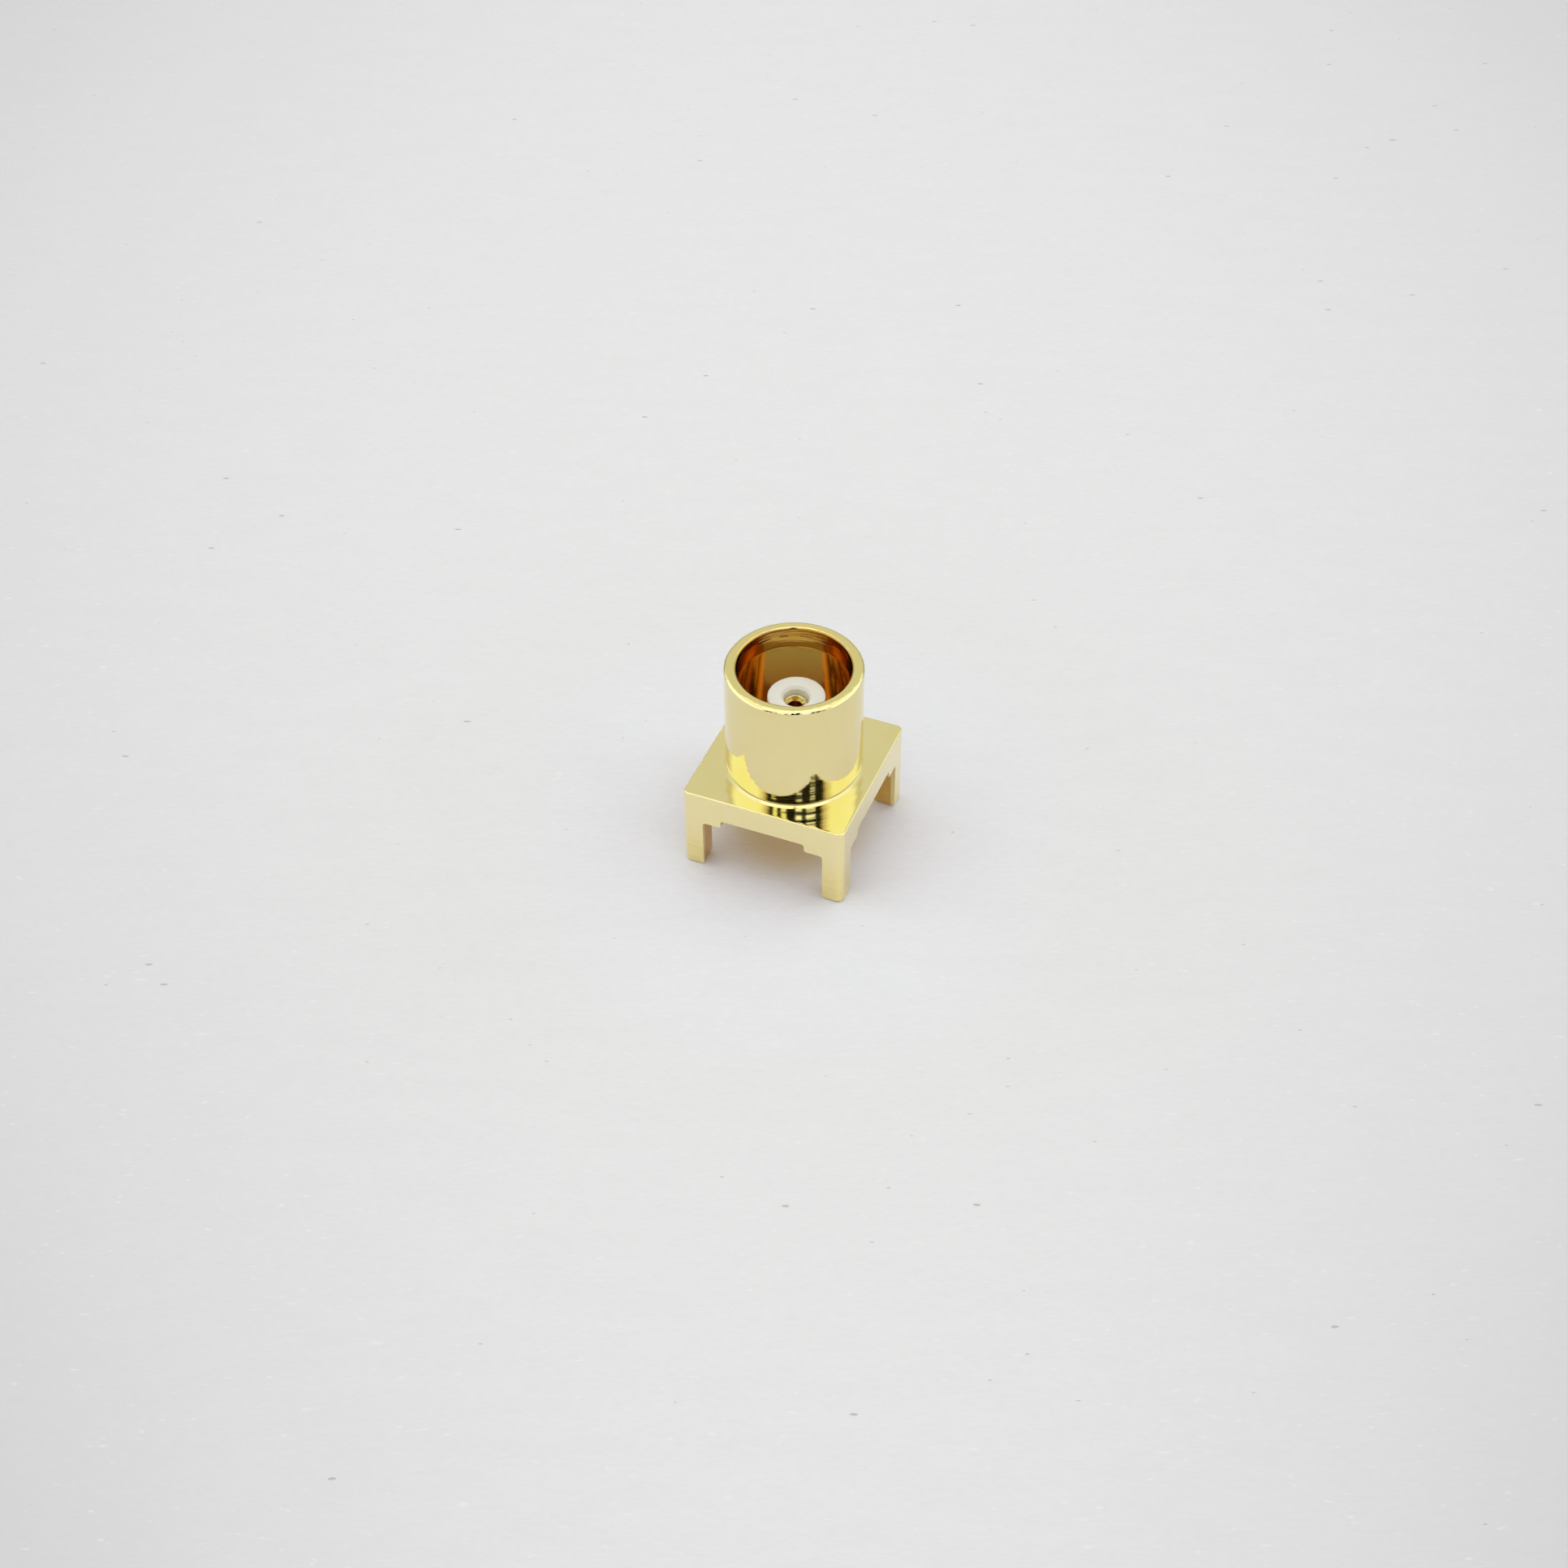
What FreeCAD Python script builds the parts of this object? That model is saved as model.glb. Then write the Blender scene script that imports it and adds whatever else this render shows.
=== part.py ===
import FreeCAD, Part
import os

import Sketcher

# Straight push-on coaxial jack for a circuit board, standing on four corner legs.
# Millimetres, +Z up. The origin is the centre of the board plane: the four corner pads rest
# on z = 0, the legs and the solder tail reach below it, and the mating axis is the Z axis.

# Driving sizes: name, value, meaning.
SIZES = (
    ("flange_side", "5.20", "side of the square bar that the body is made from"),
    ("bar_corner_radius", "0.22", "rounding of the bar's four long edges"),
    ("flange_thickness", "1.08", "corner pad underside to flange top"),
    ("pad_side", "1.25", "side of a corner pad, from the outer face"),
    ("relief_depth", "0.28", "milled relief between the pads, above the board plane"),
    ("leg_side", "0.66", "side of a square leg"),
    ("leg_length", "1.80", "leg below the board plane"),
    ("leg_tip_chamfer", "0.12", "chamfer round a leg's tip"),
    ("cutter_radius", "0.10", "corner radius that the milling cutter leaves"),
    ("step_edge_radius", "0.07", "rounding of the pad's edge towards the relief"),
    ("barrel_diameter", "4.17", "outside of the barrel"),
    ("barrel_length", "3.74", "flange top to rim"),
    ("barrel_foot_fillet", "0.07", "fillet between barrel and flange"),
    ("rim_rounding", "0.14", "rounding of the rim's outer edge"),
    ("mouth_chamfer", "0.06", "chamfer of the rim's inner edge"),
    ("mouth_diameter", "3.46", "bore at the rim"),
    ("lead_in_depth", "0.26", "tapered lead-in below the rim"),
    ("neck_diameter", "3.40", "retaining neck, the narrowest part of the bore"),
    ("neck_length", "0.43", "length of the retaining neck"),
    ("groove_diameter", "3.72", "retaining groove and bore below the neck"),
    ("bore_depth", "3.20", "rim to the floor of the annular gap"),
    ("lip_thickness", "0.30", "lip at the floor that stops the insulator's collar"),
    ("post_diameter", "1.74", "insulator post"),
    ("post_clearance", "0.02", "radial clearance of the post in the lip"),
    ("post_recess", "1.20", "rim to the face of the post"),
    ("post_edge_chamfer", "0.04", "chamfer of the post's outer edge"),
    ("collar_diameter", "2.40", "insulator collar, pressed into the flange"),
    ("funnel_diameter", "1.24", "countersink in the face of the post"),
    ("funnel_depth", "0.22", "depth of that countersink"),
    ("contact_diameter", "0.72", "outside of the centre contact"),
    ("contact_recess", "0.24", "face of the post to the contact's tip"),
    ("tine_clearance", "0.03", "radial room for the contact's two tines"),
    ("tine_room", "0.15", "room below the slot's end before the contact is gripped"),
    ("socket_bore", "0.40", "bore between the closed tines"),
    ("socket_depth", "2.30", "depth of the socket bore from the tip"),
    ("socket_mouth", "0.58", "bore at the contact's tip"),
    ("socket_lead_in", "0.12", "depth of the taper at the contact's tip"),
    ("slot_width", "0.04", "saw slot between the tines"),
    ("slot_length", "1.50", "length of the saw slot from the tip"),
    ("slot_turn", "11", "angle of the slot from the front, in degrees"),
    ("shoulder_diameter", "1.06", "shoulder that seats the contact in the insulator"),
    ("shoulder_length", "0.60", "length of the shoulder, from the underside of the insulator"),
    ("tail_length", "1.72", "solder tail below the board plane"),
    ("tail_tip_chamfer", "0.12", "chamfer of the tail's tip"),
)


class Size:
    """A length: its value, and the expression that gives it from the spreadsheet."""

    def __init__(self, value, text):
        self.value = value
        self.text = text

    def __add__(self, other):
        return Size(self.value + other.value, f"({self.text} + {other.text})")

    def __sub__(self, other):
        return Size(self.value - other.value, f"({self.text} - {other.text})")

    def __neg__(self):
        return Size(-self.value, f"(0 - {self.text})")

    def half(self):
        return Size(self.value / 2, f"({self.text} / 2)")


AXIS = Size(0.0, "0")
BOARD_PLANE = Size(0.0, "0")


def fill_sheet(doc):
    """Spreadsheet of the driving sizes, one alias each, and a Size for every alias."""
    sheet = doc.addObject("Spreadsheet::Sheet", "Sizes")
    for row, (alias, value, meaning) in enumerate(SIZES, start=1):
        sheet.set(f"A{row}", meaning)
        sheet.set(f"B{row}", value)
        sheet.setAlias(f"B{row}", alias)
    doc.recompute()
    return {alias: Size(float(value), f"Sizes.{alias}") for alias, value, meaning in SIZES}


def work_out_levels(size):
    """Heights above the board plane that more than one piece uses."""
    size["rim_level"] = size["flange_thickness"] + size["barrel_length"]
    size["floor_level"] = size["rim_level"] - size["bore_depth"]
    size["seat_level"] = size["floor_level"] - size["lip_thickness"]
    size["post_level"] = size["rim_level"] - size["post_recess"]
    size["contact_level"] = size["post_level"] - size["contact_recess"]
    size["slot_level"] = size["contact_level"] - size["slot_length"]
    size["shoulder_level"] = size["relief_depth"] + size["shoulder_length"]


def bind(feature, name, size):
    """Ties a property or constraint to the spreadsheet."""
    feature.setExpression(name, size.text)


def new_body(doc, label):
    body = doc.addObject("PartDesign::Body", label.title().replace("_", ""))
    body.Label = label
    return body


def origin_feature(body, role):
    return next(item for item in body.Origin.OriginFeatures if item.Role == role)


def new_sketch(body, name, plane, height=None, turn=None):
    """Sketch on an origin plane, raised along its normal or turned in it where asked."""
    sketch = body.newObject("Sketcher::SketchObject", name)
    sketch.AttachmentSupport = [(origin_feature(body, plane), "")]
    sketch.MapMode = "FlatFace"
    if height is not None:
        bind(sketch, ".AttachmentOffset.Base.z", height)
    if turn is not None:
        sketch.AttachmentOffset = FreeCAD.Placement(
            FreeCAD.Vector(), FreeCAD.Rotation(FreeCAD.Vector(0, 1, 0), turn.value)
        )
        bind(sketch, ".AttachmentOffset.Rotation.Angle", turn)
    return sketch


def place_point(sketch, edge, end, x, y):
    """Holds one end of a sketch edge at x, y."""
    for kind, axis, size in (("DistanceX", -2, x), ("DistanceY", -1, y)):
        if size is AXIS:
            sketch.addConstraint(Sketcher.Constraint("PointOnObject", edge, end, axis))
        else:
            index = sketch.addConstraint(Sketcher.Constraint(kind, edge, end, size.value))
            bind(sketch, f"Constraints[{index}]", size)


def step(here, there, radius):
    """The coordinate that lies one radius from here, on the way to there."""
    if there.value > here.value:
        return here + radius
    if there.value < here.value:
        return here - radius
    return here


def round_corners(corners):
    """Splits each rounded corner into its two tangent points; the first carries the arc."""
    points = []
    for index, (x, y, *radius) in enumerate(corners):
        if not radius:
            points.append((x, y, None, None))
            continue
        before = corners[index - 1]
        after = corners[(index + 1) % len(corners)]
        start = (step(x, before[0], radius[0]), step(y, before[1], radius[0]))
        end = (step(x, after[0], radius[0]), step(y, after[1], radius[0]))
        centre = (start[0].value + end[0].value - x.value, start[1].value + end[1].value - y.value)
        points.append((*start, radius[0], centre))
        points.append((*end, None, None))
    return points


def edge_ends(sketch, index, points):
    """Start and end point numbers of an edge; a clockwise arc is stored the other way round."""
    start = sketch.getPoint(index, 1)
    x, y = points[index][:2]
    turned = start.distanceToPoint(FreeCAD.Vector(x.value, y.value, 0)) > 1e-6
    return (2, 1) if turned else (1, 2)


def draw_outline(sketch, corners):
    """Closed outline; a corner is x, y, with a radius where a square corner is rounded."""
    points = round_corners(corners)
    count = len(points)
    for index, (x, y, radius, centre) in enumerate(points):
        next_x, next_y = points[(index + 1) % count][:2]
        start = FreeCAD.Vector(x.value, y.value, 0)
        end = FreeCAD.Vector(next_x.value, next_y.value, 0)
        if radius is None:
            sketch.addGeometry(Part.LineSegment(start, end))
            continue
        hub = FreeCAD.Vector(*centre, 0)
        middle = hub + (start + end - hub * 2).normalize() * radius.value
        sketch.addGeometry(Part.Arc(start, middle, end))
    ends = [edge_ends(sketch, index, points) for index in range(count)]
    for index in range(count):
        following = (index + 1) % count
        sketch.addConstraint(
            Sketcher.Constraint("Coincident", index, ends[index][1], following, ends[following][0])
        )
    for index, (x, y, radius, centre) in enumerate(points):
        place_point(sketch, index, ends[index][0], x, y)
        if radius is not None:
            fixed = sketch.addConstraint(Sketcher.Constraint("Radius", index, radius.value))
            bind(sketch, f"Constraints[{fixed}]", radius)


def draw_circle(sketch, diameter):
    circle = Part.Circle(FreeCAD.Vector(), FreeCAD.Vector(0, 0, 1), diameter.value / 2)
    sketch.addGeometry(circle)
    sketch.addConstraint(Sketcher.Constraint("Coincident", 0, 3, -1, 1))
    index = sketch.addConstraint(Sketcher.Constraint("Diameter", 0, diameter.value))
    bind(sketch, f"Constraints[{index}]", diameter)


def pad(body, name, sketch, length):
    feature = body.newObject("PartDesign::Pad", name)
    feature.Profile = sketch
    bind(feature, "Length", length)
    return feature


def pocket_through(body, name, sketch):
    """Cut that runs right through the body, both ways from its sketch."""
    feature = body.newObject("PartDesign::Pocket", name)
    feature.Profile = sketch
    feature.Type = "ThroughAll"
    feature.Midplane = True
    return feature


def revolve(body, kind, name, sketch):
    """Solid or cut of revolution round the Z axis."""
    feature = body.newObject(kind, name)
    feature.Profile = sketch
    feature.ReferenceAxis = (origin_feature(body, "Z_Axis"), [""])
    feature.Angle = 360
    return feature


def dress(body, kind, name, base, prop, size, wanted):
    """Fillet or chamfer on every edge of the base that the test wanted picks."""
    base.Document.recompute()
    edges = [
        f"Edge{number}"
        for number, edge in enumerate(base.Shape.Edges, start=1)
        if wanted(edge)
    ]
    feature = body.newObject(kind, name)
    feature.Base = (base, edges)
    bind(feature, prop, size)
    return feature


def near(value, target):
    return abs(value - target) < 1e-5


def is_ring(edge, level, diameter):
    """A full circle round the Z axis at one level."""
    if edge.Curve.TypeId != "Part::GeomCircle":
        return False
    centred = near(edge.Curve.Center.x, 0) and near(edge.Curve.Center.y, 0)
    sized = near(edge.Curve.Radius, diameter.value / 2)
    return centred and sized and near(edge.Curve.Center.z, level.value)


def lies_at(edge, level):
    box = edge.BoundBox
    return near(box.ZMin, level.value) and near(box.ZMax, level.value)


def underside_profile(size):
    """Section that the cutter takes between the legs: the leg gap, then the shallower relief."""
    leg_gap = size["flange_side"].half() - size["leg_side"]
    pad_gap = size["flange_side"].half() - size["pad_side"]
    tip = -size["leg_length"]
    cutter = size["cutter_radius"]
    edge = size["step_edge_radius"]
    return (
        (-leg_gap, tip),
        (-leg_gap, BOARD_PLANE, cutter),
        (-pad_gap, BOARD_PLANE, edge),
        (-pad_gap, size["relief_depth"], cutter),
        (pad_gap, size["relief_depth"], cutter),
        (pad_gap, BOARD_PLANE, edge),
        (leg_gap, BOARD_PLANE, cutter),
        (leg_gap, tip),
    )


def bore_profile(size):
    """Half section of the bore, from the underside of the flange to the rim."""
    collar = size["collar_diameter"].half()
    lip = size["post_diameter"].half() + size["post_clearance"]
    groove = size["groove_diameter"].half()
    neck = size["neck_diameter"].half()
    mouth = size["mouth_diameter"].half()
    neck_top = size["rim_level"] - size["lead_in_depth"]
    neck_foot = neck_top - size["neck_length"]
    groove_top = neck_foot - (groove - neck)
    return (
        (AXIS, BOARD_PLANE),
        (collar, BOARD_PLANE),
        (collar, size["seat_level"]),
        (lip, size["seat_level"]),
        (lip, size["floor_level"]),
        (groove, size["floor_level"]),
        (groove, groove_top),
        (neck, neck_foot),
        (neck, neck_top),
        (mouth, size["rim_level"] - size["mouth_chamfer"]),
        (mouth + size["mouth_chamfer"], size["rim_level"]),
        (AXIS, size["rim_level"]),
    )


def insulator_profile(size):
    """Half section of the insulator: collar below, post above, contact bore and funnel inside."""
    shoulder = size["shoulder_diameter"].half()
    grip = size["contact_diameter"].half()
    tine_bore = grip + size["tine_clearance"]
    grip_top = size["slot_level"] - size["tine_room"]
    collar = size["collar_diameter"].half()
    post = size["post_diameter"].half()
    edge = size["post_edge_chamfer"]
    return (
        (shoulder, size["relief_depth"]),
        (collar, size["relief_depth"]),
        (collar, size["seat_level"]),
        (post, size["seat_level"]),
        (post, size["post_level"] - edge),
        (post - edge, size["post_level"]),
        (size["funnel_diameter"].half(), size["post_level"]),
        (tine_bore, size["post_level"] - size["funnel_depth"]),
        (tine_bore, grip_top),
        (grip, grip_top),
        (grip, size["shoulder_level"]),
        (shoulder, size["shoulder_level"]),
    )


def contact_profile(size):
    """Half section of the contact: solder tail, shoulder and socket."""
    outer = size["contact_diameter"].half()
    shoulder = size["shoulder_diameter"].half()
    bore = size["socket_bore"].half()
    tip = size["contact_level"]
    tail = -size["tail_length"]
    chamfer = size["tail_tip_chamfer"]
    return (
        (AXIS, tail),
        (outer - chamfer, tail),
        (outer, tail + chamfer),
        (outer, size["relief_depth"]),
        (shoulder, size["relief_depth"]),
        (shoulder, size["shoulder_level"]),
        (outer, size["shoulder_level"]),
        (outer, tip),
        (size["socket_mouth"].half(), tip),
        (bore, tip - size["socket_lead_in"]),
        (bore, tip - size["socket_depth"]),
        (AXIS, tip - size["socket_depth"]),
    )


def build_connector_body(doc, size):
    """Square bar turned down to the barrel, milled to pads and legs, then bored."""
    body = new_body(doc, "connector_body")
    half_side = size["flange_side"].half()

    bar_sketch = new_sketch(body, "BarSection", "XY_Plane", height=-size["leg_length"])
    corner = size["bar_corner_radius"]
    square = [
        (-half_side, -half_side, corner),
        (half_side, -half_side, corner),
        (half_side, half_side, corner),
        (-half_side, half_side, corner),
    ]
    draw_outline(bar_sketch, square)
    pad(body, "Bar", bar_sketch, size["leg_length"] + size["flange_thickness"])

    barrel_sketch = new_sketch(body, "BarrelSection", "XY_Plane", height=size["flange_thickness"])
    draw_circle(barrel_sketch, size["barrel_diameter"])
    barrel = pad(body, "Barrel", barrel_sketch, size["barrel_length"])

    foot = dress(
        body, "PartDesign::Fillet", "BarrelFoot", barrel, "Radius", size["barrel_foot_fillet"],
        lambda edge: is_ring(edge, size["flange_thickness"], size["barrel_diameter"]),
    )
    dress(
        body, "PartDesign::Fillet", "RimEdge", foot, "Radius", size["rim_rounding"],
        lambda edge: is_ring(edge, size["rim_level"], size["barrel_diameter"]),
    )

    bore_sketch = new_sketch(body, "BoreSection", "XZ_Plane")
    draw_outline(bore_sketch, bore_profile(size))
    revolve(body, "PartDesign::Groove", "Bore", bore_sketch)

    mill_sketch = new_sketch(body, "UndersideSection", "XZ_Plane")
    draw_outline(mill_sketch, underside_profile(size))
    milled = pocket_through(body, "Underside", mill_sketch)
    crossed = body.newObject("PartDesign::PolarPattern", "UndersideCrossed")
    crossed.Originals = [milled]
    crossed.Axis = (origin_feature(body, "Z_Axis"), [""])
    crossed.Occurrences = 2
    crossed.Angle = 90
    body.Tip = crossed

    tips = dress(
        body, "PartDesign::Chamfer", "LegTips", crossed, "Size", size["leg_tip_chamfer"],
        lambda edge: lies_at(edge, -size["leg_length"]),
    )
    body.Tip = tips
    return body


def build_insulator(doc, size):
    body = new_body(doc, "insulator")
    section = new_sketch(body, "InsulatorSection", "XZ_Plane")
    draw_outline(section, insulator_profile(size))
    revolve(body, "PartDesign::Revolution", "Insulator", section)
    return body


def build_centre_contact(doc, size):
    """Turned contact whose socket end is sawn into two tines."""
    body = new_body(doc, "centre_contact")
    section = new_sketch(body, "ContactSection", "XZ_Plane")
    draw_outline(section, contact_profile(size))
    revolve(body, "PartDesign::Revolution", "Contact", section)

    slot_sketch = new_sketch(body, "SlotSection", "XZ_Plane", turn=size["slot_turn"])
    half_width = size["slot_width"].half()
    slot = [
        (-half_width, size["slot_level"]),
        (half_width, size["slot_level"]),
        (half_width, size["post_level"]),
        (-half_width, size["post_level"]),
    ]
    draw_outline(slot_sketch, slot)
    pocket_through(body, "Slot", slot_sketch)
    return body


def check_document(doc, bodies):
    """Stops if a feature failed, or if a body is not one valid solid."""
    for item in doc.Objects:
        if "Invalid" in item.State or "Error" in item.State:
            raise RuntimeError(f"{item.Name} failed: {item.State}")
    for body in bodies:
        shape = body.Shape
        if shape.isNull() or not shape.isValid() or len(shape.Solids) != 1:
            raise RuntimeError(f"{body.Label} is not one valid solid")


def main():
    doc = FreeCAD.newDocument("CoaxialJack")
    size = fill_sheet(doc)
    work_out_levels(size)
    bodies = [
        build_connector_body(doc, size),
        build_insulator(doc, size),
        build_centre_contact(doc, size),
    ]
    doc.recompute()
    check_document(doc, bodies)
    os.makedirs("parts", exist_ok=True)
    for body in bodies:
        body.Shape.exportStep(f"parts/{body.Label}.step")
        print(body.Label, "volume", round(body.Shape.Volume, 4), "mm3")


main()
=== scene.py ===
import math
import random

import bmesh
import bpy
from mathutils import Matrix, Vector


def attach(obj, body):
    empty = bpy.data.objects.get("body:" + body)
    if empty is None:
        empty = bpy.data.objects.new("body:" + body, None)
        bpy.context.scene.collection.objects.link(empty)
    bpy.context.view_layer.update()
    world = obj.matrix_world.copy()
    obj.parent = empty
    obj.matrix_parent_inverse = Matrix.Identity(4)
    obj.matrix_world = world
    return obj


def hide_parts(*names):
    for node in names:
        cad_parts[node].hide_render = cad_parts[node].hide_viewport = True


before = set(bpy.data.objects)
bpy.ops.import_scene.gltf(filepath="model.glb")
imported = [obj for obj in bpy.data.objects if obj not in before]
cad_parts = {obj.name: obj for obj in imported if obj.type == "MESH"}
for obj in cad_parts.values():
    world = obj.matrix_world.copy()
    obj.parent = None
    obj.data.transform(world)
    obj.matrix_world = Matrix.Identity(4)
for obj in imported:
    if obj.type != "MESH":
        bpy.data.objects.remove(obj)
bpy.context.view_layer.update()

# Straight push-on coaxial jack, seen on a pale sheet. Meshes are drawn in millimetres and
# scaled to metres at the end. +Z is the mating axis and z = 0 is the board plane.

MM = 0.001
TURN_STEPS = 256
SMALL_TURN_STEPS = 128

# Flange, pads and legs
HALF_SIDE = 2.60
CORNER_RADIUS = 0.22
FLANGE_TOP = 1.08
TOP_EDGE = 0.05
TOP_MARGIN = 0.10
RELIEF = 0.28
PAD_INNER = 1.35
LEG_INNER = 1.94
LEG_TIP = -1.80
TIP_RADIUS = 0.12
CUTTER_RADIUS = 0.10
STEP_RADIUS = 0.07
MILLED_EDGE = 0.014
SHARP_ANGLE = 38.0
RELIEF_POINTS = (-0.8, -0.3, 0.3, 0.8)
CORNER_INSETS = (0.18, 0.15)

# Burrs along the flange's top edge, as (least draw, longest tick, push in, lift)
SIDE_STEPS = 64
EDGE_STEPS = 5
TURNED_LEVELS = 3
BURR_QUARTER = 3
BURRS = (0.4, 1.4, 0.034, 0.024)
FAINT_BURRS = (1.3, math.inf, 0.006, 0.003)

# Barrel and bore
BARREL = 2.085
RIM = 4.82
RIM_OUTER = 2.0
RIM_INNER = 1.785
RIM_DROP = 0.07
MOUTH = 1.73
MOUTH_DROP = 0.035
NECK = 1.70
NECK_TOP = 4.56
NECK_FOOT = 4.13
GROOVE = 1.86
GROOVE_TOP = 3.97
GAP_FLOOR = 1.62
SEAT = 1.32
COLLAR = 1.20
COLLAR_CHAMFER = 0.02
LIP = 0.89
FOOT_RING = 2.185
FOOT_RISE = 0.03
FLANGE_RING = 2.26

# Insulator and contact
POST = 0.87
POST_FACE = 3.62
FUNNEL = 0.48
FUNNEL_DEPTH = 0.10
TINE_BORE = 0.39
GRIP = 0.36
GRIP_TOP = 1.73
SHOULDER = 0.53
SHOULDER_TOP = 0.88
CONTACT_TIP = 3.38
SOCKET = 0.20
SOCKET_MOUTH = 0.29
SOCKET_LEAD = 0.12
SOCKET_DEPTH = 2.30
SLOT_FOOT = 1.88
SLOT_WIDTH = 0.012
SLOT_TURN = 11.0
TAIL_TIP = -1.72
TAIL_BEVEL = 0.11
TAIL_BEVEL_HEIGHT = 0.12

# How far the post and the contact stand off centre: to the camera's right, and away from it
POST_SHIFT = (0.07, 0.04)
CONTACT_SHIFT = (0.035, 0.02)

# Camera: place round the object in degrees, distance and offset in millimetres
CAMERA_TURN = 22.169
CAMERA_RISE = 43.808
CAMERA_ROLL = -0.251
CAMERA_DISTANCE = 82.080
CAMERA_OFFSET = (0.309, 0.769)
CAMERA_LENS = 61.946

# Colours of the plating
GOLD = (0.88, 0.765, 0.39, 1.0)
GOLD_DEEP = (0.87, 0.75, 0.36, 1.0)
GOLD_RIM_SHADED = (0.87, 0.74, 0.31, 1.0)
# Painted light and shade in the bore: lighter near the mouth, deeper and darker further down
GOLD_BORE_LIT = (1.0, 0.86, 0.30, 1.0)
GOLD_BORE_SHADED = (0.98, 0.62, 0.18, 1.0)
# Painted dark reflections at the neck: its tone, a broken dark line and brown patches
GOLD_NECK_REFLECTION = (0.62, 0.36, 0.07, 1.0)
NECK_LINE_REFLECTION = (0.22, 0.09, 0.03, 1.0)
NECK_PATCH_REFLECTION = (0.42, 0.24, 0.08, 1.0)
# Painted shade at the floor of the gap round the post
BORE_GAP_SHADE = (0.50, 0.24, 0.08, 1.0)
GOLD_PALE = (0.945, 0.825, 0.435, 1.0)
GOLD_TIP_SHADED = (0.93, 0.79, 0.345, 1.0)
GOLD_SCORED = (0.80, 0.56, 0.20, 1.0)
# Painted shade between the legs, under the flange
GOLD_UNDER_SHADED = (0.74, 0.46, 0.13, 1.0)
GOLD_UNDER_SHADED_DEEP = (0.80, 0.53, 0.17, 1.0)
# Painted shade inside the contact's socket
SOCKET_SHADE_DARK = (0.55, 0.22, 0.08, 1.0)
SOCKET_SHADE_RED = (0.70, 0.34, 0.12, 1.0)

# Colours of the insulator and the floor
PTFE = (0.99, 0.965, 0.865, 1.0)
PTFE_CLOUD = (0.975, 0.95, 0.85, 1.0)
FLOOR_TONE = (0.785, 0.756, 0.763, 1.0)
# Painted shadow under the object, and painted light near it
FLOOR_UNDER_SHADOW = (0.68, 0.54, 0.35, 1.0)
FLOOR_NEAR_LIT = (0.81, 0.785, 0.83, 1.0)
FLOOR_EDGE = (0.645, 0.622, 0.63, 1.0)
FLOOR_SHADE = (0.52, 0.51, 0.51, 1.0)
FLOOR_FLECK = (0.84, 0.83, 0.835, 1.0)
FLOOR_SPECK = (0.30, 0.27, 0.24, 1.0)

# Heights between which the plating changes its looks, painted light and shade among them
WAVES_CALM = (1.09, 1.2)
RIM_DENTS = (RIM - 0.14, RIM - 0.06)
RIM_SHADE = (RIM - 0.05, RIM - 0.01)
NECK_MARKS_AND_REFLECTION = (3.98, 4.12)
NECK_LINE_START = (4.50, 4.53)
NECK_LINE_END = (4.57, 4.59)
BORE_SHADE_DEEPENS = (3.9, 2.6)
GAP_SHADE_STARTS = (1.9, 1.66)
LEG_SHADE_AND_MARKS = (0.2, -1.5)

# Parts of a noise's range: nearly all of it, and its middle
NOISE_RANGE = (0.3, 0.7)
NOISE_MIDDLE = (0.35, 0.65)
CUTTER_MARKS = (0.6, 0.6, 14.0)
SCORE_MARKS = (1.6, 1.6, 16.0)

# Floor, in millimetres: its size, what the camera sees of it, and the painted light near the legs
# and painted shadow under them
FLOOR_REACH = 1500.0
VIEW_HALF_WIDTH = 23.8
VIEW_SPREAD = 0.21
VIEW_MIDDLE = 13.5
VIEW_DEPTH = 40.0
EDGE_ACROSS = 0.47
EDGE_CORNER = 0.35
EDGE_DEEP = 0.18
NEAR_PAINTED_LIGHT = (11.0, 3.0)
UNDER_SHADE = (2.9, 1.0)
PAPER_GRAIN = (0.35, 1.0, 1.0)
FLECK_SHIFT = (31.0, 7.0, 3.0)
SPECK_SHIFT = (3.0, 57.0, 5.0)

# Light of the surround
LOW_LIGHT = (0.42, 0.42, 0.42, 1.0)
BACK_LIGHT = (0.74, 0.75, 0.68, 1.0)
SIDE_LIGHT = (1.22, 1.40, 1.40, 1.0)
FRONT_LIGHT = (1.5, 1.5, 1.45, 1.0)
TOP_LIGHT = (1.15, 1.15, 1.15, 1.0)
LAMP_LIGHT = (1.75, 1.75, 1.73, 1.0)
FRINGE = (0.50, 0.30, 0.12, 1.0)
DARK = (0.004, 0.003, 0.002, 1.0)
BACKDROP = (0.78, 0.78, 0.78, 1.0)
WARM_BAR = (1.2, 1.3, 1.1, 1.0)
COLD_BAR = (1.4, 1.6, 2.2, 1.0)

# Degrees at which the light changes. Turns are counted from the camera, heights from level.
SIDE_ENDS = (118.0, 145.0)
RING_RISES = (4.0, 24.0)
TOP_STARTS = (50.0, 56.0)
LAMP_STARTS = (67.0, 71.0)
FRONT_ENDS = (60.0, 90.0)
FRONT_HEIGHTS = (14.0, 33.0)
BLOCK_HEIGHTS = (33.0, 56.0)
BLOCK_TURNS = (-47.0, 50.0)
FRINGE_TURNS = (-56.0, 60.0)
FRINGE_SHARE = 0.6
SPIRE_HEIGHTS = (48.0, 84.0)
SPIRE_TURNS = (-8.0, 14.0)

# Bright bars in the dark block, as (turns, heights, colour)
BARS = (
    ((-38.0, -31.0), (40.5, 56.0), WARM_BAR),
    ((-24.0, -15.0), (47.0, 56.0), WARM_BAR),
    ((2.0, 13.0), (49.3, 56.0), COLD_BAR),
    ((21.0, 38.0), (49.3, 56.0), COLD_BAR),
    ((26.0, 34.0), (40.6, 43.4), COLD_BAR),
    ((3.0, 12.0), (40.6, 42.6), COLD_BAR),
)


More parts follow.
